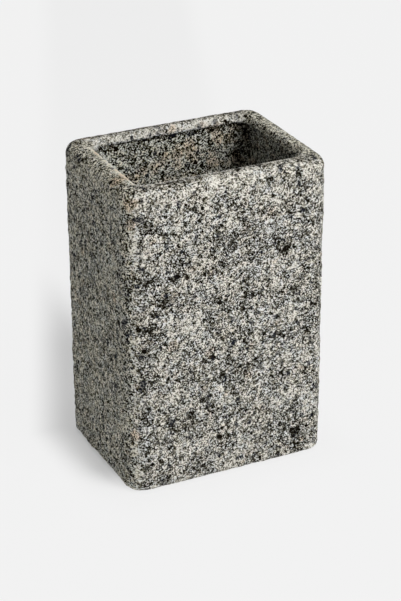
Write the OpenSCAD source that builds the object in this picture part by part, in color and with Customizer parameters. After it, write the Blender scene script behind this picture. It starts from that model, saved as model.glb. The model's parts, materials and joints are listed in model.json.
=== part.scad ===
// Bathroom tumbler: a rectangular, open-topped cup cast in one piece in a
// granite-look stone mix, standing on four small round anti-slip pads.
// The origin is the centre of the footprint on the surface it stands on.
// +Z is up and -Y is the wide front face.

/* [Overall size] */
// Width across the wide front face
overall_width = 73.5; // [60:0.5:100]
// Depth from the front face to the rear face
overall_depth = 55.5; // [50:0.5:84]
// Height from the standing surface to the top of the rim
overall_height = 110; // [70:1:150]
// Radius of the four upright corners
corner_radius = 6.5; // [6:0.25:10]

/* [Wall and rim] */
// Thickness of the front and rear walls below the rim
wall_thickness = 5.4; // [5:0.1:7]
// Thickness of the two narrow end walls below the rim
end_wall_thickness = 6.2; // [5:0.1:8]
// Distance by which the lip stands in from the wall
lip_overhang = 1.2; // [0.4:0.1:2.4]
// Height from the top of the rim down to where the lip turns back to the wall
lip_height = 2.8; // [2.4:0.1:8]
// Distance by which the face of the lip leans back towards the top of the rim
lip_lean = 1; // [0:0.1:1.6]
// Height over which the underside of the lip runs back into the wall
lip_undercut_height = 0.5; // [0.4:0.1:3]
// Radius of the rim's outer edge
rim_outer_radius = 4; // [2:0.1:4.2]
// Radius of the rim's inner edge
rim_inner_radius = 1; // [0.5:0.1:1.2]
// Radius of the mouth's upright corners, measured at the wall
cavity_corner_radius = 7; // [5:0.1:10]

/* [Floor and foot] */
// Thickness of the solid floor
floor_thickness = 8; // [5:0.5:14]
// Radius where the inside of the wall meets the floor
floor_fillet = 3; // [1:0.1:3]
// Radius of the outer edge round the foot
foot_edge_radius = 2.2; // [0.5:0.1:4]

/* [Anti-slip pads] */
// Diameter of each round pad
pad_diameter = 9; // [6:0.5:11]
// Thickness of each pad
pad_thickness = 1.2; // [1:0.1:2]
// Radius of each pad's lower edge
pad_edge_radius = 0.25; // [0.1:0.05:0.3]
// Depth of the round seat in the underside that holds a pad
pad_seat_depth = 0.8; // [0.5:0.1:0.8]
// Gap round a pad in its seat
pad_clearance = 0.3; // [0.2:0.05:0.5]
// Distance from the outer faces to a pad's centre
pad_inset = 11.5; // [10:0.5:14]

/* [Hidden] */
$fn = 64;

// Overrun of a cut past the face that it opens
overrun = 0.5;
// Part of a full turn that one corner takes, in degrees
corner_turn = 90;

foot_z = pad_thickness - pad_seat_depth;
floor_z = foot_z + floor_thickness;
half_width = overall_width / 2;
half_depth = overall_depth / 2;
lip_z = overall_height - lip_height;
lip_angle = atan(lip_lean / lip_height);
cavity_half_width = half_width - end_wall_thickness;
cavity_half_depth = half_depth - wall_thickness;
pad_x = half_width - pad_inset;
pad_y = half_depth - pad_inset;

// Outside of the cup as a half profile, reach wide from the axis to the wall
module outside_profile(reach) {
    intersection() {
        translate([0, foot_z]) square([reach, overall_height - foot_z]);
        union() {
            translate([0, foot_z]) square([reach - foot_edge_radius, foot_edge_radius]);
            translate([reach - foot_edge_radius, foot_z + foot_edge_radius]) circle(foot_edge_radius);
            translate([0, foot_z + foot_edge_radius])
                square([reach, overall_height - rim_outer_radius - foot_z - foot_edge_radius]);
            translate([reach - rim_outer_radius, overall_height - rim_outer_radius]) circle(rim_outer_radius);
            translate([0, overall_height - rim_outer_radius]) square([reach - rim_outer_radius, rim_outer_radius]);
        }
    }
}

// Inside of the cup as a half profile: floor, wall, leaning lip and the rounded edge of the mouth
module inside_profile(reach) {
    throat = reach - lip_overhang;
    edge_x = throat + (lip_height - rim_inner_radius) * tan(lip_angle) + rim_inner_radius / cos(lip_angle);
    edge_z = overall_height - rim_inner_radius;
    face_top_z = edge_z + rim_inner_radius * sin(lip_angle);
    intersection() {
        translate([0, floor_z]) square([edge_x, overall_height]);
        union() {
            translate([0, floor_z]) square([reach - floor_fillet, floor_fillet]);
            translate([reach - floor_fillet, floor_z + floor_fillet]) circle(floor_fillet);
            polygon([
                [0, floor_z + floor_fillet],
                [reach, floor_z + floor_fillet],
                [reach, lip_z - lip_undercut_height],
                [throat, lip_z],
                [edge_x - rim_inner_radius * cos(lip_angle), face_top_z],
                [0, face_top_z]
            ]);
            difference() {
                translate([0, face_top_z]) square([edge_x, overall_height + overrun - face_top_z]);
                translate([edge_x, edge_z]) circle(rim_inner_radius);
            }
        }
    }
}

// The whole profile, mirrored about its middle
module both_sides() {
    children();
    mirror([1, 0]) children();
}

// Carries a profile straight along X, with the profile's own axis lying along Y
module run_along_x(length) {
    translate([-length / 2, 0, 0]) rotate([90, 0, 90]) linear_extrude(length) children();
}

// Carries a profile straight along Y
module run_along_y(length) {
    translate([0, length / 2, 0]) rotate([90, 0, 0]) linear_extrude(length) children();
}

// Places a quarter turn at each of the four upright corners
module at_corners(x, y) {
    for (quarter = [[1, 1, 0], [-1, 1, 1], [-1, -1, 2], [1, -1, 3]])
        translate([quarter[0] * x, quarter[1] * y, 0]) rotate([0, 0, quarter[2] * corner_turn]) children();
}

// Solid outside of the cup
module outside_block() {
    straight_x = overall_width - 2 * corner_radius;
    straight_y = overall_depth - 2 * corner_radius;
    run_along_x(straight_x) both_sides() outside_profile(half_depth);
    run_along_y(straight_y) both_sides() outside_profile(half_width);
    at_corners(straight_x / 2, straight_y / 2)
        rotate_extrude(angle = corner_turn) outside_profile(corner_radius);
}

// Hollow of the cup, open at the top
module inside_block() {
    straight_x = 2 * (cavity_half_width - cavity_corner_radius);
    straight_y = 2 * (cavity_half_depth - cavity_corner_radius);
    run_along_x(straight_x) both_sides() inside_profile(cavity_half_depth);
    run_along_y(straight_y) both_sides() inside_profile(cavity_half_width);
    at_corners(straight_x / 2, straight_y / 2)
        rotate_extrude(angle = corner_turn) inside_profile(cavity_corner_radius);
}

// Round seat for one pad, cut up into the underside
module pad_seat() {
    translate([0, 0, foot_z - overrun])
        cylinder(d = pad_diameter + 2 * pad_clearance, h = pad_seat_depth + overrun);
}

// One anti-slip pad, standing on the origin's plane with its lower edge eased
module anti_slip_pad() {
    rotate_extrude() {
        translate([0, pad_edge_radius]) square([pad_diameter / 2, pad_thickness - pad_edge_radius]);
        intersection() {
            square([pad_diameter / 2, pad_thickness]);
            translate([pad_diameter / 2 - pad_edge_radius, pad_edge_radius]) circle(pad_edge_radius);
        }
        square([pad_diameter / 2 - pad_edge_radius, pad_edge_radius]);
    }
}

// The cast cup: walls, rolled rim, floor and the four seats in its underside
module tumbler_body() {
    color([0.55, 0.54, 0.51]) difference() {
        outside_block();
        inside_block();
        for (side = [-1, 1], end = [-1, 1])
            translate([side * pad_x, end * pad_y, 0]) pad_seat();
    }
}

// A pad in its place, side and end give the corner
module placed_pad(side, end) {
    color([0.78, 0.8, 0.8, 0.8]) translate([side * pad_x, end * pad_y, 0]) anti_slip_pad();
}

module pad_front_left() { placed_pad(-1, -1); }
module pad_front_right() { placed_pad(1, -1); }
module pad_rear_left() { placed_pad(-1, 1); }
module pad_rear_right() { placed_pad(1, 1); }

tumbler_body();
pad_front_left();
pad_front_right();
pad_rear_left();
pad_rear_right();
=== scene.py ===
import json
import math

import bpy
import numpy as np
from mathutils import Matrix, Vector, geometry, noise

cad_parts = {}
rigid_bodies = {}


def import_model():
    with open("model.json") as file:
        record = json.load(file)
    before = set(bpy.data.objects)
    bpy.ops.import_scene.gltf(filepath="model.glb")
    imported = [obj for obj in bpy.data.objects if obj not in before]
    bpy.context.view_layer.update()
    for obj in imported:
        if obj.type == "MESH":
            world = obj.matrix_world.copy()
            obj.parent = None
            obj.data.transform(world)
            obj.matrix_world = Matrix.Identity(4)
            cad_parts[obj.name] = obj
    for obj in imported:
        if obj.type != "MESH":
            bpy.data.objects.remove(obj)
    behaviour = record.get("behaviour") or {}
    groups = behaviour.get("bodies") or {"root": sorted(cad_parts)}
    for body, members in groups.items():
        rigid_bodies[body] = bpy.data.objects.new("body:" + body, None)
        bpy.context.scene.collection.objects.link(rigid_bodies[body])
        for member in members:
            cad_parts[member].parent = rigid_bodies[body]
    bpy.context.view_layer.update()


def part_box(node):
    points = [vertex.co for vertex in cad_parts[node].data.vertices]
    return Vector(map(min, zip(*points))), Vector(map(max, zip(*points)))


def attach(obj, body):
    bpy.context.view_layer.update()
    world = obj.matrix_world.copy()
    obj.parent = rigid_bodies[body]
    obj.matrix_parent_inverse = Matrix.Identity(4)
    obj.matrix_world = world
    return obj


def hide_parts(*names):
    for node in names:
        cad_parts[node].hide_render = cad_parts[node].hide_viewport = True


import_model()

# Stone body
# One casting of stone grains in resin, coloured right through like grey granite. The mould was taken
# from rough stone, so the walls and the rolled rim are lumpy and pitted, and the lip is rubbed lighter and
# warmer. Highlights are painted on the foot's edge, the front of the rim, two upright corners and the lip's
# left end, and shade inside the cup, on the lip's right face and on the narrow sides. Nothing is fixed to
# it but the pads in its underside.
body_low, body_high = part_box("tumbler_body")
half_width = (body_high[0] - body_low[0]) / 2
half_depth = (body_high[1] - body_low[1]) / 2
foot_z, top_z = body_low[2], body_high[2]
corner_radius = 0.0065
foot_radius = 0.0022
rim_outer_radius = 0.004
rim_inner_radius = 0.001
wall_thickness = 0.0054
end_wall_thickness = 0.0062
lip_overhang = 0.0012
lip_height = 0.0028
lip_lean = 0.001
lip_undercut_height = 0.0005
# The mouth's upright corners at the wall, from the rear right by the left to the front right
mouth_radii = (0.0055, 0.0092, 0.0036, 0.005)
floor_thickness = 0.008
floor_z = foot_z + floor_thickness
floor_fillet = 0.003
mesh_step = 0.00078
arc_step = 0.00066
arc_least = 4


def arc(centre_inset, centre_z, radius, start, end):
    """Points (inset from the outer face, height) of a quarter arc; angle 0 points out of the wall."""
    count = max(arc_least, round(abs(radius * math.radians(end - start)) / arc_step))
    angles = np.radians(np.linspace(start, end, count + 1))
    return [(centre_inset - radius * math.cos(a), centre_z + radius * math.sin(a)) for a in angles]


def run(start, end):
    """Points between start and end, a mesh step apart."""
    count = max(1, round(math.dist(start, end) / mesh_step))
    shares = [k / count for k in range(1, count)]
    return [(start[0] + (end[0] - start[0]) * s, start[1] + (end[1] - start[1]) * s) for s in shares]


def join(stretches):
    """One line of points through the arcs, with the straight runs between them filled in."""
    points = list(stretches[0])
    for stretch in stretches[1:]:
        points += run(points[-1], stretch[0]) + list(stretch)
    return points


outer_profile = join([
    arc(foot_radius, foot_z + foot_radius, foot_radius, -90, 0),
    arc(rim_outer_radius, top_z - rim_outer_radius, rim_outer_radius, 0, 90),
])
lip_angle = math.atan(lip_lean / lip_height)
lip_inset = wall_thickness + lip_overhang
edge_in = (lip_height - rim_inner_radius) * math.tan(lip_angle) + rim_inner_radius / math.cos(lip_angle)
inner_profile = join([
    arc(lip_inset - edge_in, top_z - rim_inner_radius, rim_inner_radius, 90, 180 - math.degrees(lip_angle)),
    [(lip_inset, top_z - lip_height)],
    [(wall_thickness, top_z - lip_height - lip_undercut_height)],
    arc(wall_thickness + floor_fillet, floor_z + floor_fillet, floor_fillet, 0, -90),
])
corner_steps = round(corner_radius * math.pi / 2 / mesh_step)
steps_x = round(2 * (half_width - corner_radius) / mesh_step)
steps_y = round(2 * (half_depth - corner_radius) / mesh_step)


def outline(inset, centre_insets, end_extra=0.0):
    """Plan points of the rounded rectangle that lies inset from the outer faces, more so at the ends."""
    corners = []
    for quarter, (sx, sy) in enumerate([(1, 1), (-1, 1), (-1, -1), (1, -1)]):
        centre = centre_insets[quarter]
        cx, cy = sx * (half_width - end_extra - centre), sy * (half_depth - centre)
        angles = [math.pi / 2 * (quarter + k / corner_steps) for k in range(corner_steps + 1)]
        radius = centre - inset
        corners.append([(cx + radius * math.cos(a), cy + radius * math.sin(a)) for a in angles])
    points = []
    for quarter, corner_points in enumerate(corners):
        points += corner_points
        count = steps_x if quarter % 2 == 0 else steps_y
        (x, y), (far_x, far_y) = corner_points[-1], corners[(quarter + 1) % 4][0]
        points += [(x + (far_x - x) * k / count, y + (far_y - y) * k / count) for k in range(1, count)]
    return points


def travelled(points):
    """Distance gone along a line of points, at each point."""
    steps = [math.dist(a, b) for a, b in zip(points, points[1:])]
    return [sum(steps[:k]) for k in range(len(points))]


body_plan = [corner_radius] * 4
rings = [[(x, y, z) for x, y in outline(inset, body_plan)] for inset, z in outer_profile]
mouth_plan = [wall_thickness + radius for radius in mouth_radii], end_wall_thickness - wall_thickness
rings += [[(x, y, z) for x, y in outline(inset, *mouth_plan)] for inset, z in inner_profile]
around = len(rings[0])
verts = [p for ring in rings for p in ring]
faces, wraps = [], []
foot_line = outline(0.0, body_plan)
wrap_across = travelled(foot_line + foot_line[:1])
wrap_up = travelled(outer_profile + inner_profile)
# The corners of a four-sided face, along its row and up
face_corners = ((0, 0), (1, 0), (1, 1), (0, 1))
for k in range(len(rings) - 1):
    for j in range(around):
        n = (j + 1) % around
        faces.append((k * around + j, k * around + n, (k + 1) * around + n, (k + 1) * around + j))
        wraps.append([(wrap_across[j + a], wrap_up[k + b]) for a, b in face_corners])


def inside(point, loop):
    """True where a plan point lies inside a closed loop."""
    x, y = point
    hit = False
    for (x0, y0), (x1, y1) in zip(loop, loop[1:] + loop[:1]):
        if (y0 > y) != (y1 > y) and x < x0 + (y - y0) * (x1 - x0) / (y1 - y0):
            hit = not hit
    return hit


# The points that fill an outline lie in rows, every other row shifted by half a step. They keep clear
# of the edges by a share of a step, measured to every third point of the edge.
row_shift, clear_share, edge_stride = 0.5, 0.8, 3
merge_distance = 1e-9


def fill(boundary, z, step, face_up, wrap_centre, holes=()):
    """Closes a flat outline with triangles about one step wide, leaving round holes open."""
    loops = [[verts[i][:2] for i in ids] for ids in (boundary, *holes)]
    ids = [i for loop_ids in (boundary, *holes) for i in loop_ids]
    points = [Vector(p) for loop in loops for p in loop]
    edges = []
    for loop in loops:
        base = len(edges)
        edges += [(base + k, base + (k + 1) % len(loop)) for k in range(len(loop))]
    half_x, half_y = max(p[0] for p in loops[0]), max(p[1] for p in loops[0])
    for row in range(1, int(2 * half_y / step)):
        for column in range(1, int(2 * half_x / step)):
            spot = (-half_x + (column + row_shift * (row % 2)) * step, -half_y + row * step)
            nearest = min(math.dist(spot, q) for loop in loops for q in loop[::edge_stride])
            clear = nearest > step * clear_share
            if clear and inside(spot, loops[0]) and not any(inside(spot, loop) for loop in loops[1:]):
                points.append(Vector(spot))
    found = geometry.delaunay_2d_cdt(points, edges, [], 0, merge_distance)
    new_points, _, triangles, origins, _, _ = found
    # Points of the edges keep their numbers in the mesh, and the others are new
    table = []
    for point, sources in zip(new_points, origins):
        if min(sources) < len(ids):
            table.append(ids[min(sources)])
        else:
            verts.append((point.x, point.y, z))
            table.append(len(verts) - 1)
    for triangle in triangles:
        a, b, c = (new_points[k] for k in triangle)
        centre = (a + b + c) / 3
        if not inside(centre, loops[0]) or any(inside(centre, loop) for loop in loops[1:]):
            continue
        upward = (b - a).cross(c - a) > 0
        turned = triangle if upward == face_up else list(reversed(triangle))
        faces.append(tuple(table[k] for k in turned))
        wraps.append([(wrap_centre[0] + new_points[k].x, wrap_centre[1] + new_points[k].y) for k in turned])


# Round seats for the pads, and the two flat stretches: underside and inside floor. The wrap map has
# the walls at the bottom, then a row with the underside, the inside floor and the seats' ceilings,
# and the seats' walls on top.
pad_names = ["pad_front_left", "pad_front_right", "pad_rear_left", "pad_rear_right"]
seat_gap = 0.0003
seat_steps = 48
wrap_margin = 0.004
wrap_row = wrap_up[-1] + wrap_margin + half_depth
seat_rims = []
for order, name in enumerate(pad_names):
    pad_low, pad_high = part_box(name)
    cx, cy = (pad_low[0] + pad_high[0]) / 2, (pad_low[1] + pad_high[1]) / 2
    radius = (pad_high[0] - pad_low[0]) / 2 + seat_gap
    turns = [2 * math.pi * k / seat_steps for k in range(seat_steps)]
    round_line = [(radius * math.cos(a), radius * math.sin(a)) for a in turns]
    loops = []
    for z in (foot_z, pad_high[2]):
        loops.append(list(range(len(verts), len(verts) + seat_steps)))
        verts += [(cx + x, cy + y, z) for x, y in round_line]
    low, high = loops
    wrap_x = 4 * half_width + 3 * wrap_margin + radius
    wrap_y = wrap_row - half_depth + radius + order * (2 * radius + wrap_margin / 2)
    wall_y = wrap_row + half_depth + wrap_margin * (order + 1) / 2
    seat_depth = pad_high[2] - foot_z
    for k in range(seat_steps):
        n = (k + 1) % seat_steps
        faces.append((low[k], low[n], high[n], high[k]))
        seat_turn = 2 * math.pi * radius / seat_steps
        wraps.append([(seat_turn * (k + a), wall_y + seat_depth * b) for a, b in face_corners])
    faces.append(tuple(reversed(high)))
    wraps.append([(wrap_x + x, wrap_y + y) for x, y in reversed(round_line)])
    seat_rims.append(low)
flat_step = 0.0015
inner_end = range((len(rings) - 1) * around, len(rings) * around)
fill(range(around), foot_z, flat_step, False, (half_width, wrap_row), seat_rims)
fill(inner_end, floor_z, flat_step, True, (3 * half_width + wrap_margin, wrap_row))

stone = bpy.data.meshes.new("tumbler_body_stone")
stone.from_pydata(verts, [], faces)
stone.update()
wrap_side = wrap_row + half_depth + 3 * wrap_margin
wrap_map = stone.uv_layers.new(name="OFBake")
wrap_map.data.foreach_set("uv", [c / wrap_side for corners in wraps for corner in corners for c in corner])

# The rough face of the mould, in millimetres: slow waves, lumps, rounded facets between sharp
# creases, grit, and single small holes. Each noise starts from a place of its own.
mm = 1000.0
wave_width, wave_height = 19.0, 0.2
lump_width, lump_height, lump_start = 7.5, 0.22, Vector((31, 7, 3))
facet_width, facet_height, facet_start = 3.0, 0.5, Vector((5, 57, 11))
facet_middle = 0.25
grit_width, grit_height, grit_start = 1.7, 0.18, Vector((91, 2, 40))
hole_spacing, hole_radius, hole_depth, hole_share = 6.0, 0.9, 0.5, 0.45
hole_scatter = 37
middle_hollow, hollow_per_mm = 0.5, 1.6
# Larger chips missing from the surface: place on the front, the left side and the rear wall's inside,
# and radius, in millimetres
front_y, left_x, rear_inside_y = -half_depth * mm, -half_width * mm, (half_depth - wall_thickness) * mm
chips = [(x, front_y, z, radius) for x, z, radius in (
    (-20.0, 77.7, 1.6), (-29.3, 78.5, 2.1), (-24.0, 69.6, 2.1), (-28.0, 61.8, 2.0), (-3.0, 78.9, 1.9),
    (20.6, 80.9, 1.4), (23.1, 65.3, 1.3), (18.8, 49.1, 1.4), (-0.8, 47.5, 1.3), (-3.4, 38.3, 1.9),
    (-30.8, 30.6, 1.7), (20.7, 27.6, 1.4), (-16.5, 27.0, 1.3), (1.2, 10.1, 1.3), (24.1, 9.8, 1.4),
    (-31.1, 10.0, 1.5), (18.8, 104.4, 1.5), (14.7, 105.6, 1.6), (24.6, 106.4, 1.6), (-13.3, 100.7, 1.3))]
chips += [(left_x, y, z, radius) for y, z, radius in (
    (-0.4, 92.2, 1.4), (0.4, 45.9, 1.2), (-13.4, 35.2, 1.3), (-5.9, 32.4, 1.1), (5.9, 70.4, 1.1))]
chips += [(x, rear_inside_y, z, radius) for x, z, radius in (
    (-13.3, 100.0, 1.9), (-16.8, 96.6, 1.7), (-1.8, 92.4, 1.6), (16.6, 99.5, 1.4), (8.8, 93.4, 1.5),
    (-20.8, 100.2, 1.3))]
chip_depth, chip_shade = 0.65, 1.7
ragged_width, ragged_share, ragged_start = 1.6, 0.9, Vector((3, 70, 7))
# Rusty brown patches, mostly on rubbed edges: place and radius, in millimetres
rusty_places = [
    (-35.0, -26.0, 106.0, 4.2), (-35.2, -26.0, 99.0, 3.0), (-35.0, -26.0, 22.0, 3.6),
    (-30.5, 25.0, 109.0, 4.5), (-34.5, -14.0, 109.0, 3.4), (-31.0, -26.5, 4.0, 2.6),
    (4.0, -26.5, 2.5, 2.4), (8.8, 22.4, 102.0, 4.0)]


def relief(place):
    """Height of the rough surface at a place on the body, how hollow it is there, and the chip's depth."""
    q = place * mm
    wave = wave_height * noise.noise(q / wave_width)
    lump = lump_height * noise.noise(q / lump_width + lump_start)
    facet = facet_height * (abs(noise.noise(q / facet_width + facet_start)) - facet_middle)
    grit = grit_height * noise.noise(q / grit_width + grit_start)
    # A hole is in a share of the cells, whose noise lies between -1 and 1
    distances, centres = noise.voronoi(q / hole_spacing)
    chosen = noise.cell(centres[0] * hole_scatter) < hole_share * 2 - 1
    reach = distances[0] * hole_spacing / hole_radius
    hole = hole_depth * (1 - reach) ** 2 if chosen and reach < 1 else 0.0
    ragged = 1 + ragged_share * noise.noise(q / ragged_width + ragged_start)
    nearest = ragged * min(math.dist(q, (x, y, z)) / radius for x, y, z, radius in chips)
    chip = chip_depth * (1 - min(1.0, nearest) ** 2)
    near = lump + facet + grit - hole
    return wave + near, min(1.0, max(0.0, middle_hollow - near * hollow_per_mm)), chip


def between(value, start, end):
    """0 at start, 1 at end and straight between them."""
    return min(1.0, max(0.0, (value - start) / (end - start)))


# Painted shade inside the cup and under it: the lip's shadow, black in the groove under it and fading down
# the wall, and shade in the upright corners, at the right end and in the left half. All inside is a little
# darker.
lip_z = top_z - lip_height
groove_z = lip_z - lip_undercut_height
groove_shadow, groove_reach = 2.0, 0.0008
lip_shadow, lip_shadow_reach = 1.2, 0.005
inside_dark, right_end_shade, left_half_shade, corner_shade = 0.23, 0.2, 0.25, 0.6
left_half_start, left_half_end = 0.002, 0.022
upright_least, corner_least = 0.9, 0.15


def inside_painted_shade(place, normal, at_end):
    """How dark a place on the lip, inside the cup or under it is painted, mostly as shade and shadow."""
    below = groove_z - place.z
    upright = math.hypot(normal.x, normal.y) > upright_least
    painted_dark = inside_dark + right_end_shade * (at_end and place.x > 0)
    painted_dark += left_half_shade * between(-place.x, left_half_start, left_half_end)
    painted_dark += corner_shade * (upright and abs(normal.x * normal.y) > corner_least)
    under_lip = max(painted_dark, lip_shadow * (1 - below / lip_shadow_reach)) if below > 0 else 0.0
    return max(0.0, groove_shadow * (1 - abs(below) / groove_reach), under_lip)


# The flat top of the rim is darker than its edges, apart from the right end's
wide_top_tone, left_top_tone, right_top_tone = -0.17, -0.26, 0.1


def top_tone(place, normal, at_end):
    """How much lighter or darker the stone is where it faces straight up."""
    end_tone = right_top_tone if place.x > 0 else left_top_tone
    return (end_tone if at_end else wide_top_tone) * max(0.0, normal.z) ** 4


# Wear of the outside. The rim is rubbed smoother. The foot's edge is painted pale and smooth, a glow of
# light from the floor, and the upright corners at the front left and the rear right and the front of the
# rim's rounding are painted paler as highlights. The narrow sides take the shade-matched copy of the stone,
# darker,
# warmer and of harder grains: painted shade.
rubbed_depth, foot_glow_height = 0.0045, 0.0028
foot_fade_reach, foot_faded = 0.015, 0.7
end_from, end_to = 0.7, 0.8
corner_start, corner_end = 0.3, 0.75
round_highlight, corner_highlight, foot_glow_light = 0.1, 0.24, 0.05
rim_smooth, end_rim_smooth, foot_smooth, corner_smooth = 0.3, 0.3, 0.4, 0.2
wide_warm, end_shade_yellow, corner_warm = 0.26, 0.85, 0.4
# A place that faces straight up or down belongs to the side that it lies nearest to
level_least = 0.1


def outside_wear(place, normal, at_end):
    """How far the outside is rubbed flat at a place, and its share of each finish."""
    level_part = math.hypot(normal.x, normal.y)
    endward = abs(normal.x) / level_part if level_part > level_least else float(at_end)
    end_share = between(endward, end_from, end_to)
    rubbed = between(place.z, top_z - rim_outer_radius - rubbed_depth, top_z - rim_outer_radius)
    # Painted highlight on the front of the rim, where its rounding faces halfway up
    # Twice the upward part times the level part is 1 where a rounded edge faces halfway up
    highlit_round = rubbed * 2 * max(0.0, normal.z) * level_part * (1 - end_share) * (place.y < 0)
    # Painted glow: the pale, smooth strip along the foot's edge stands in for light from the floor
    foot_glow = between(place.z, foot_z + foot_glow_height, foot_z + foot_glow_height / 2)
    foot_glow *= 1 - foot_faded * between(place.x, -foot_fade_reach, foot_fade_reach)
    # Painted highlight: the upright corners at the front left and the rear right are paler, smoother and
    # warmer
    painted_corner = normal.x * normal.y > 0
    corner = between(abs(normal.x), corner_start, corner_end) * (1 - end_share) if painted_corner else 0.0
    rim_share = rubbed * (rim_smooth + end_rim_smooth * end_share)
    paler = round_highlight * highlit_round ** 4 + corner_highlight * corner + foot_glow_light * foot_glow
    return rubbed, {
        "smooth": max(rim_share, foot_smooth * foot_glow, corner_smooth * corner),
        "paler": paler + top_tone(place, normal, at_end) * rubbed,
        "raw": end_share,
        "warm": wide_warm + end_shade_yellow * end_share + corner_warm * corner,
        "rusty": 0.0}


# Wear of the lip, which is rubbed all round. Its upper edge is palest along the front, and along the left
# end it is painted with a highlight. The right end's face is painted darker: shade.
edge_slope, face_shade_slope = 0.5, 0.75
highlight_until_x, highlight_until_y = -0.02, 0.0148
edge_highlight, face_shade = 0.8, 0.17
front_edge_light, front_face_light, rear_light = 0.34, 0.05, 0.2


def lip_wear(place, normal, at_end):
    """How far the lip is rubbed flat at a place, and its share of each finish."""
    upper_edge = normal.z > edge_slope
    highlit = at_end and upper_edge and place.x < highlight_until_x and place.y < highlight_until_y
    if at_end:
        light = edge_highlight * highlit - face_shade * (place.x > 0 and normal.z < face_shade_slope)
    elif place.y < 0:
        light = front_edge_light if upper_edge else front_face_light
    else:
        light = rear_light
    return 1.0, {
        "smooth": 1.0 if highlit else rim_smooth,
        "paler": light + top_tone(place, normal, at_end),
        "raw": float(at_end and not highlit),
        "warm": wide_warm + end_shade_yellow * at_end,
        "rusty": 0.0}


# The inside and the underside take the shade-matched copy of the stone, yellower still, with some rust. The
# relief is lower where the stone is rubbed, lower still on the lip, and runs out to nothing at the foot.
inside_finish = {"smooth": 0.0, "paler": 0.0, "raw": 1.0, "warm": 1.2, "rusty": 0.26}
rubbed_calm, lip_calm, rubbed_fill = 0.6, 0.3, 0.5
flat_foot_height = 0.0009
normals = [v.normal.copy() for v in stone.vertices]
shares = {"hollow": [], "smooth": [], "paler": [], "raw": [], "warm": [], "rusty": []}
for vertex, normal in zip(stone.vertices, normals):
    place = vertex.co.copy()
    at_end = half_width - abs(place.x) < half_depth - abs(place.y)
    outward = normal.x * place.x + normal.y * place.y > 0
    on_lip = not outward and place.z > lip_z - lip_undercut_height / 2
    if outward:
        rubbed, finish = outside_wear(place, normal, at_end)
    elif on_lip:
        rubbed, finish = lip_wear(place, normal, at_end)
    else:
        rubbed, finish = 0.0, dict(inside_finish)
    height, hollow, chip = relief(place)
    # Painted shade and shadow inside and under the cup
    painted_dark = 0.0 if outward else inside_painted_shade(place, normal, at_end)
    # The hollow share: darker hollows of the relief, painted shade in the chips, and the painted shade
    # inside
    finish["hollow"] = hollow * (1 - rubbed_fill * rubbed) + chip_shade * chip + painted_dark
    rust = 1 - min(math.dist(place * mm, spot[:3]) / spot[3] for spot in rusty_places)
    finish["rusty"] = max(rust, finish["rusty"])
    for name, values in shares.items():
        values.append(finish[name])
    calmed = height * (1 - rubbed_calm * rubbed - lip_calm * on_lip) - chip
    flat_foot = between(place.z, foot_z, foot_z + flat_foot_height)
    vertex.co = place + normal * (calmed / mm) * flat_foot
for name, values in shares.items():
    stone.attributes.new(name, "FLOAT", "POINT").data.foreach_set("value", values)
for polygon in stone.polygons:
    polygon.use_smooth = True
body = bpy.data.objects.new("tumbler_body_stone", stone)
bpy.context.scene.collection.objects.link(body)
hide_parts("tumbler_body")
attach(body, "root")


class Tone:
    """A value, colour or vector in a material, which can be used in sums."""

    def __init__(self, finish, socket):
        self.finish = finish
        self.socket = socket

    def sum_with(self, operation, first, second):
        return self.finish.add("ShaderNodeMath", {"operation": operation}, {0: first, 1: second})

    def __add__(self, other):
        return self.sum_with("ADD", self, other)

    def __sub__(self, other):
        return self.sum_with("SUBTRACT", self, other)

    def __rsub__(self, other):
        return self.sum_with("SUBTRACT", other, self)

    def __mul__(self, other):
        return self.sum_with("MULTIPLY", self, other)

    __radd__ = __add__
    __rmul__ = __mul__


class Finish:
    """A material, or the world's light, under construction."""

    def __init__(self, owner):
        owner.use_nodes = True
        self.owner = owner
        self.tree = owner.node_tree
        self.tree.nodes.clear()

    def add(self, kind, settings=None, inputs=None, output=0):
        """Adds a node, sets its settings and then its inputs, and gives back one of its outputs."""
        node = self.tree.nodes.new(kind)
        for key, value in (settings or {}).items():
            if key == "stops":
                ramp = node.color_ramp
                while len(ramp.elements) < len(value):
                    ramp.elements.new(1.0)
                for element, (position, colour) in zip(ramp.elements, value):
                    element.position = position
                    element.color = (*colour, 1)
            else:
                setattr(node, key, value)
        for key, value in (inputs or {}).items():
            if isinstance(value, Tone):
                self.tree.links.new(value.socket, node.inputs[key])
            else:
                node.inputs[key].default_value = value
        return Tone(self, node.outputs[output]) if len(node.outputs) else None

    def move(self, vector, scale, offset=(0, 0, 0)):
        """A vector scaled by one number and moved."""
        settings = {"operation": "MULTIPLY_ADD"}
        return self.add("ShaderNodeVectorMath", settings, {0: vector, 1: (scale,) * 3, 2: offset})

    def clouds(self, place, width, detail=2.0, roughness=0.5, offset=(0, 0, 0)):
        """Soft noise whose lumps are about width millimetres across."""
        vector = self.move(place, 1 / width, offset)
        return self.add("ShaderNodeTexNoise", {}, {
            "Vector": vector, "Scale": 1.0, "Detail": detail, "Roughness": roughness})

    def step(self, value, start, end):
        """0 below start, 1 above end and smooth between them."""
        settings = {"interpolation_type": "SMOOTHSTEP"}
        inputs = {"Value": value, "From Min": start, "From Max": end}
        return self.add("ShaderNodeMapRange", settings, inputs)

    def mix(self, first, second, factor):
        """Goes from one colour to another as the factor goes from 0 to 1."""
        settings = {"data_type": "RGBA"}
        return self.add("ShaderNodeMix", settings, {"Factor": factor, 6: first, 7: second}, output=2)

    def off(self, value, middle):
        """How far a value lies from the middle, either way."""
        return self.add("ShaderNodeMath", {"operation": "ABSOLUTE"}, {0: value - middle})

    def tint(self, colour, by, factor):
        """A colour multiplied by another, as far as the factor says."""
        settings = {"data_type": "RGBA", "blend_type": "MULTIPLY"}
        return self.add("ShaderNodeMix", settings, {"Factor": factor, 6: colour, 7: by}, output=2)


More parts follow.
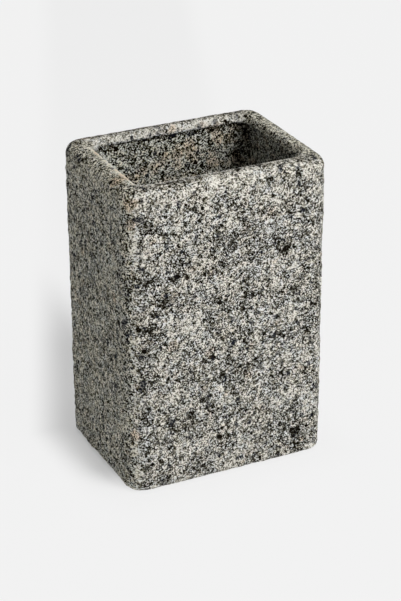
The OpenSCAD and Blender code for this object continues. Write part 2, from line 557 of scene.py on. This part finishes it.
# Grey granite: hard grains and larger crystals, whose outlines are bent out of true, with dust and
# soft patches between them. All widths are in millimetres. Every noise and chance swings about middle.
middle = 0.5
grain_width, crystal_width, dust_width, patch_width, bed_width = 0.39, 1.05, 0.33, 1.9, 9.0
shake_scale, shake_reach = 1.3, 0.6
grey_stone = Finish(bpy.data.materials.new("grey_stone"))
place = grey_stone.move(grey_stone.add("ShaderNodeTexCoord", output="Object"), mm)
shakes = {"Vector": place, "Scale": shake_scale, "Detail": 1.0}
shake = grey_stone.move(grey_stone.add("ShaderNodeTexNoise", {}, shakes, output="Color"), shake_reach)
bent = grey_stone.add("ShaderNodeVectorMath", {"operation": "ADD"}, {0: place, 1: shake})


def cells(vector, width, output):
    """One output of a pattern of cells about width across."""
    inputs = {"Vector": vector, "Scale": 1 / width}
    return grey_stone.add("ShaderNodeTexVoronoi", {"feature": "F1"}, inputs, output=output)


def chance_in(cell_colour, channel):
    """A number from 0 to 1 that differs from cell to cell."""
    return grey_stone.add("ShaderNodeSeparateColor", {}, {"Color": cell_colour}, output=channel)


def specks(spacing, widest, missing, edge):
    """1 inside dark specks set about spacing apart, whose radius is up to widest."""
    moved = grey_stone.move(bent, 1.0, offset=(4, 4, 4))
    reach = cells(moved, spacing, "Distance")
    chance = chance_in(cells(moved, spacing, "Color"), "Blue")
    radius = (widest / spacing / (1 - missing)) * (chance - missing)
    return 1 - grey_stone.step(reach - radius, -edge, edge)


grain = chance_in(cells(bent, grain_width, "Color"), "Red")
grain_dome = cells(bent, grain_width, "Distance")
crystal = chance_in(cells(bent, crystal_width, "Color"), "Green")
speck = specks(spacing=0.75, widest=0.3, missing=0.0, edge=0.06)
spot = specks(spacing=3.9, widest=1.0, missing=0.55, edge=0.03)
dust = grey_stone.clouds(place, dust_width, detail=1.0, offset=(7, 7, 7))
patch = grey_stone.clouds(place, patch_width, offset=(3, 9, 1))
bed = grey_stone.clouds(place, bed_width, offset=(13, 9, 5))
hollow_and_shade_here, smooth_here, paler_and_painted_light_here, shade_matched_here, warm_and_shade_here, rusty_here = [
    grey_stone.add("ShaderNodeAttribute", {"attribute_name": name}, output="Fac") for name in shares]

# Blue-black blots, and fine dark cracks that come and go
blot_width, blot_start, blot_end = 3.4, 0.6, 0.68
crack_width, crack_core, crack_edge = 2.8, 0.008, 0.028
cracked_width, cracked_start, cracked_end = 3.0, 0.5, 0.56
blot_cloud = grey_stone.clouds(bent, blot_width, roughness=0.55, offset=(41, 3, 17))
blot = grey_stone.step(blot_cloud, blot_start, blot_end)
crack_line = grey_stone.off(grey_stone.clouds(bent, crack_width, offset=(9, 33, 51)), middle)
cracked_cloud = grey_stone.clouds(place, cracked_width, detail=1.0, offset=(77, 5, 19))
cracked = grey_stone.step(cracked_cloud, cracked_start, cracked_end)
crack = cracked * (1 - grey_stone.step(crack_line, crack_core, crack_edge))

# Tone of the stone from black to white. The weights say how much each kind of grain and mark counts.
grain_weight, crystal_weight, dust_weight, patch_weight, bed_weight = 1.2, 0.36, 1.35, 0.85, 0.55
blot_weight, speck_weight, spot_weight, crack_weight = 0.2, 0.3, 0.8, 0.3
smooth_contrast, shade_matched_contrast = 0.6, 1.85
mean_tone, hollow_dark, shade_matched_dark = 0.545, 0.45, 0.065
speckle = (grain_weight * (grain - middle) + crystal_weight * (crystal - middle)
           + dust_weight * (dust - middle) + patch_weight * (patch - middle)
           - blot_weight * blot - speck_weight * speck - spot_weight * spot - crack_weight * crack)
# The shade-matched faces take more contrast and a darker tone: painted shade
contrast = 1.0 - smooth_contrast * smooth_here + shade_matched_contrast * shade_matched_here
# The paler share brings painted highlights and glow, and the hollow share painted shade, into the tone
tone = (mean_tone + speckle * contrast + bed_weight * (bed - middle) + hollow_dark * (middle - hollow_and_shade_here)
        + paler_and_painted_light_here - shade_matched_dark * shade_matched_here)
salt_and_pepper = grey_stone.add("ShaderNodeValToRGB", {"stops": [
    (0.1, (0.0052, 0.0036, 0.0022)),
    (0.3, (0.0245, 0.0208, 0.0148)),
    (0.5, (0.172, 0.162, 0.138)),
    (0.7, (0.488, 0.477, 0.446)),
    (1.0, (0.79, 0.788, 0.778)),
]}, {"Fac": tone})

# Hue: cold or warm in soft patches, a little yellow all over and yellower on the shade-matched faces as
# painted shade, most of all in the darker grains; blue-black in the blots, and rusty in patches
cold_patch, warm_patch = (0.962, 0.99, 1.03, 1), (1.025, 1.003, 0.955, 1)
shade_matched_yellow, blot_colour, rust_tint = (1.04, 1.0, 0.6, 1), (0.018, 0.022, 0.036, 1), (0.97, 0.84, 0.74, 1)
hue_width, mean_hue, hue_weight, patch_hue, hollow_hue = 4.2, 0.27, 0.5, 0.9, 0.4
hue_start, hue_end = 0.35, 0.65
shade_start, shade_end, least_yellow, shade_yellow = 0.15, 0.95, 0.2, 1.3
blot_blue = 0.55
rust_width, rust_start, rust_end, rust_most = 6.0, 0.62, 0.8, 0.85
paler_rust, rusty_rust = 0.25, 0.5
hue_cloud = grey_stone.clouds(place, hue_width, roughness=0.55, offset=(61, 13, 29))
hue = mean_hue + hue_weight * hue_cloud + patch_hue * (patch - middle) + hollow_hue * (middle - hollow_and_shade_here)
patch_tint = grey_stone.mix(cold_patch, warm_patch, grey_stone.step(hue, hue_start, hue_end))
tinted = grey_stone.tint(salt_and_pepper, patch_tint, 1.0)
shade = 1 - grey_stone.step(tone, shade_start, shade_end)
yellowed = grey_stone.tint(tinted, shade_matched_yellow, warm_and_shade_here * (least_yellow + shade_yellow * shade))
blotted = grey_stone.mix(yellowed, blot_colour, blot_blue * blot)
rust_cloud = grey_stone.clouds(place, rust_width, offset=(23, 61, 8))
rust = grey_stone.step(rust_cloud + paler_rust * paler_and_painted_light_here + rusty_rust * rusty_here, rust_start, rust_end)
rusted = grey_stone.tint(blotted, rust_tint, rust_most * rust)

# Fine relief of the grains, too small for the mesh
dome_rim = 0.6
dome_height, grain_height, dust_height, patch_height, crack_height = 1.2, 0.5, 0.8, 1.6, 0.8
least_roughness, tone_roughness = 0.62, 0.25
fine_height = (dome_height * (dome_rim - grain_dome) + grain_height * grain + dust_height * dust
               + patch_height * patch - crack_height * crack)
bumps = grey_stone.add("ShaderNodeBump", {}, {"Height": fine_height, "Strength": 0.8, "Distance": 0.00022})
shell = grey_stone.add("ShaderNodeBsdfPrincipled", {}, {
    "Base Color": rusted, "Roughness": least_roughness + tone_roughness * tone, "Normal": bumps,
    "Specular IOR Level": 0.01})
grey_stone.add("ShaderNodeOutputMaterial", {}, {"Surface": shell})
stone.materials.append(grey_stone.owner)

# Anti-slip pads
# Four round moulded pads of clear grey rubber, self-adhesive, pressed into the seats in the
# underside. Their faces are satin with a fine moulded grain, a little dusty.
haze_width, pebble_width = 2.2, 0.16
clear_grey, dusty_grey = (0.62, 0.63, 0.63, 1), (0.78, 0.79, 0.79, 1)
pad_roughness, haze_roughness = 0.34, 0.3
pad_rubber = Finish(bpy.data.materials.new("pad_rubber"))
place = pad_rubber.move(pad_rubber.add("ShaderNodeTexCoord", output="Object"), mm)
haze = pad_rubber.clouds(place, haze_width, detail=3.0, roughness=0.6)
pebble = pad_rubber.clouds(place, pebble_width, detail=1.0)
pad_colour = pad_rubber.mix(clear_grey, dusty_grey, haze)
pad_bumps = pad_rubber.add("ShaderNodeBump", {}, {"Height": pebble, "Strength": 0.35, "Distance": 0.00003})
pad_shell = pad_rubber.add("ShaderNodeBsdfPrincipled", {}, {
    "Base Color": pad_colour, "Roughness": pad_roughness + haze_roughness * haze, "Normal": pad_bumps,
    "Specular IOR Level": 0.45})
pad_rubber.add("ShaderNodeOutputMaterial", {}, {"Surface": pad_shell})
for name in pad_names:
    for slot in bpy.data.objects[name].material_slots:
        slot.material = pad_rubber.owner

# Studio floor
# A plain pale sweep of card. As in a product picture its shadow is lifted, so that the lens sees it
# only at the foot of the cup on the left, and as a narrow band that runs back from there.
floor_reach, floor_drop = 3.0, 0.00005
card_tone = 0.889
card_colour, white = (0.86, 0.86, 0.86, 1), (1, 1, 1, 1)
lifted_near, lifted_far = 0.39, 0.98
shadow_start, shadow_reach, shadow_skew = -0.001, 0.0175, 0.4
lit_most, lit_from_front, lit_half_width = 0.85, 0.004, 0.01
floor_mesh = bpy.data.meshes.new("studio_floor")
floor_turns = ((-1, -1), (1, -1), (1, 1), (-1, 1))
floor_corners = [(x * floor_reach, y * floor_reach, -floor_drop) for x, y in floor_turns]
floor_mesh.from_pydata(floor_corners, [], [(0, 1, 2, 3)])
studio_floor = bpy.data.objects.new("studio_floor", floor_mesh)
bpy.context.scene.collection.objects.link(studio_floor)
card = Finish(bpy.data.materials.new("studio_card"))


def seen(finish):
    """1 on the rays that show a surface to the lens, straight, mirrored or through glass."""
    rays = [finish.add("ShaderNodeLightPath", output=kind)
            for kind in ("Is Camera Ray", "Is Glossy Ray", "Is Transmission Ray")]
    return rays[0] + rays[1] + rays[2]


floor_place = card.add("ShaderNodeTexCoord", output="Object")
across = card.add("ShaderNodeSeparateXYZ", {}, {0: floor_place}, output="X")
along = card.add("ShaderNodeSeparateXYZ", {}, {0: floor_place}, output="Y")


def above(value):
    """A value where it is over zero, and zero elsewhere."""
    return card.add("ShaderNodeMath", {"operation": "MAXIMUM"}, {0: value, 1: 0.0})


skewed = across - shadow_skew * above(along - half_depth)
beside, ahead = above(card.off(skewed, 0.0) - half_width), above(-half_depth - along)
outside = card.add("ShaderNodeCombineXYZ", {}, {0: beside, 1: ahead})
distance = card.add("ShaderNodeVectorMath", {"operation": "LENGTH"}, {0: outside}, output="Value")
shaded = 1 - card.step(distance, shadow_start, shadow_reach)
lit_front = card.step(-1 * along, lit_from_front, half_depth)
lit_right = card.step(across, -lit_half_width, lit_half_width)
lit_side = lit_most * (1 - (1 - lit_front) * (1 - lit_right))
lifted_share = lifted_far - (lifted_far - lifted_near) * shaded * (1 - lit_side)
card_shell = card.add("ShaderNodeBsdfDiffuse", {}, {"Color": card_colour})
card_glow = card.add("ShaderNodeEmission", {}, {"Color": white, "Strength": card_tone})
card_seen = card.add("ShaderNodeMixShader", {}, {0: lifted_share * seen(card), 1: card_shell, 2: card_glow})
card.add("ShaderNodeOutputMaterial", {}, {"Surface": card_seen})
floor_mesh.materials.append(card.owner)

# Camera
# Placed by the outline of the cup in the photograph, in degrees, metres and the picture's pixels. The
# picture is upright, so the sensor's larger side, which Blender calls its width, spans the height.
view_azimuth, view_elevation, view_roll = -25.78, 25.82, -0.32
view_distance = 0.673
view_target = Vector((0.00218, 0.0, 0.05322))
focal_pixels, frame_height = 1955.0, 601.0
sensor_height = 36.0


def direction(azimuth, elevation):
    """Unit vector towards a point round the cup; azimuth 0 is in front of it."""
    a, e = math.radians(azimuth), math.radians(elevation)
    return Vector((math.sin(a) * math.cos(e), -math.cos(a) * math.cos(e), math.sin(e)))


back = direction(view_azimuth, view_elevation)
level = Vector((0, 0, 1)).cross(back).normalized()
upright = back.cross(level)
roll = math.radians(view_roll)
right = level * math.cos(roll) + upright * math.sin(roll)
camera_data = bpy.data.cameras.new("camera")
camera_data.sensor_width = sensor_height
camera_data.lens = focal_pixels * sensor_height / frame_height
camera = bpy.data.objects.new("camera", camera_data)
camera.location = view_target + back * view_distance
camera.rotation_mode = "QUATERNION"
camera.rotation_quaternion = Matrix((right, back.cross(right), back)).transposed().to_quaternion()
bpy.context.scene.collection.objects.link(camera)
bpy.context.scene.camera = camera

# Light
# A tall soft box at the front right, a wide soft light overhead, a weak fill from the left and a dim
# room. Directions and spread are in degrees.
key_azimuth, key_elevation, fill_azimuth, fill_elevation = 25, 35, -98, 12
key_width, key_height, key_distance = 0.5, 0.85, 1.1
fill_size, fill_distance = 0.9, 1.2
key_level, top_level, fill_level, room_level = 0.778, 0.29, 0.148, 0.02
top_spread, top_height = 30, 1


def soft_box(name, from_side, distance, level, width, height):
    """A rectangular lamp that faces the cup; level is how much light reaches the cup from it."""
    data = bpy.data.lights.new(name, "AREA")
    data.shape = "RECTANGLE"
    data.size = width
    data.size_y = height
    data.energy = level * 4 * math.pi * distance ** 2
    lamp = bpy.data.objects.new(name, data)
    lamp.location = Vector((0, 0, top_z / 2)) + from_side * distance
    lamp.rotation_mode = "QUATERNION"
    lamp.rotation_quaternion = (-from_side).to_track_quat("-Z", "Y")
    bpy.context.scene.collection.objects.link(lamp)


key_side, fill_side = direction(key_azimuth, key_elevation), direction(fill_azimuth, fill_elevation)
soft_box("key_light", key_side, key_distance, key_level, key_width, key_height)
soft_box("fill_light", fill_side, fill_distance, fill_level, fill_size, fill_size)
top_data = bpy.data.lights.new("top_light", "SUN")
top_data.energy = top_level * math.pi
top_data.angle = math.radians(top_spread)
top = bpy.data.objects.new("top_light", top_data)
top.location = (0, 0, top_height)
bpy.context.scene.collection.objects.link(top)
room = Finish(bpy.data.worlds.new("studio_room"))
room_strength = room_level + (card_tone - room_level) * seen(room)
room_glow = room.add("ShaderNodeBackground", {}, {"Color": white, "Strength": room_strength})
room.add("ShaderNodeOutputWorld", {}, {"Surface": room_glow})
bpy.context.scene.world = room.owner
bpy.context.scene.view_settings.view_transform = "Standard"
